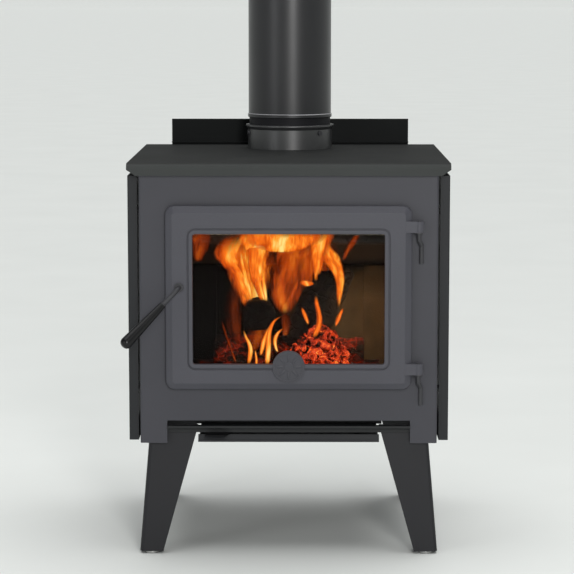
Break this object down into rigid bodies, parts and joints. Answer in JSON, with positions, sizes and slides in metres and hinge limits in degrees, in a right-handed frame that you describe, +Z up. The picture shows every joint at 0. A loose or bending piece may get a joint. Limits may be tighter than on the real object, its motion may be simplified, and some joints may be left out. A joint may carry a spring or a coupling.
{
  "type": "wood burning stove",
  "caption": "Free-standing steel wood stove with a glazed cast door, turn handle, firebrick firebox, air slide, heat shields, splayed legs and a starter flue pipe.",
  "frame": {"origin": "on the floor, under the middle of the stove's outline", "axes": "+Z up; the door faces -Y; +X to the right of a person facing the door"},
  "size_m": [0.6176, 0.6645, 1.055],
  "materials": {
    "stove_paint": "satin",
    "shield_paint": "satin",
    "firebox_steel": "matte",
    "cast_door_paint": "satin",
    "badge_iron": "satin",
    "pipe_paint": "satin",
    "liner_steel": "satin",
    "zinc": "satin",
    "rod_steel": "satin",
    "grip_black": "satin",
    "firebrick": "matte",
    "baffle_board": "matte",
    "blanket": "matte",
    "rope": "matte",
    "ceramic_glass": "gloss"
  },
  "bodies": {
    "stove": {"air_box": "firebox_steel", "air_risers": "firebox_steel", "air_slide_guides": "firebox_steel", "airwash_deflector": "firebox_steel", "ash_lip": "stove_paint", "baffle_blanket": "blanket", "baffle_board": "baffle_board", "baffle_rails": "firebox_steel", "bottom_heat_shield": "shield_paint", "bottom_shield_bolts": "zinc", "brick_clips": "firebox_steel", "brick_rail": "firebox_steel", "bricks_back": "firebrick", "bricks_floor": "firebrick", "bricks_left": "firebrick", "bricks_right": "firebrick", "door_catch": "firebox_steel", "firebox_back": "firebox_steel", "firebox_floor": "firebox_steel", "firebox_left_side": "firebox_steel", "firebox_right_side": "firebox_steel", "firebox_top": "firebox_steel", "flue_adapter": "pipe_paint", "flue_collar": "pipe_paint", "flue_pipe_liner": "liner_steel", "flue_pipe_shell": "pipe_paint", "flue_screws": "zinc", "flue_spacer_rings": "liner_steel", "foot_glides": "zinc", "front_plate": "stove_paint", "hinge_pin_lower": "rod_steel", "hinge_pin_upper": "rod_steel", "hinge_washers": "zinc", "leg_bolts": "zinc", "leg_front_left": "stove_paint", "leg_front_right": "stove_paint", "leg_rear_left": "stove_paint", "leg_rear_right": "stove_paint", "rear_heat_shield": "shield_paint", "secondary_air_tubes": "firebox_steel", "shield_screws": "rod_steel", "shield_spacers": "zinc", "side_shield_left": "shield_paint", "side_shield_right": "shield_paint", "top_plate": "stove_paint", "top_plate_spacers": "firebox_steel"},
    "door": {"door_casting": "cast_door_paint", "door_glass": "ceramic_glass", "glass_gasket": "rope", "glass_retainers": "firebox_steel", "retainer_screws": "zinc", "door_gasket": "rope", "door_badge": "badge_iron", "latch_bush": "rod_steel"},
    "handle": {"handle_rod": "rod_steel", "handle_grip": "grip_black", "latch_cam": "zinc", "latch_nut": "zinc"},
    "air_control": {"air_slide": "firebox_steel"}
  },
  "joints": [
    {"name": "door_swing", "type": "hinge", "parent": "stove", "child": "door", "pos_m": [0.245, -0.24191, 0.4965], "axis": [0, 0, 1], "range_deg": [0, 120]},
    {"name": "handle_turn", "type": "hinge", "parent": "door", "child": "handle", "pos_m": [-0.206, -0.24991, 0.5175], "axis": [0, 1, 0], "range_deg": [0, 75]},
    {"name": "air_slide", "type": "slide", "parent": "stove", "child": "air_control", "axis": [1, 0, 0], "range_m": [0, 0.07]}
  ]
}
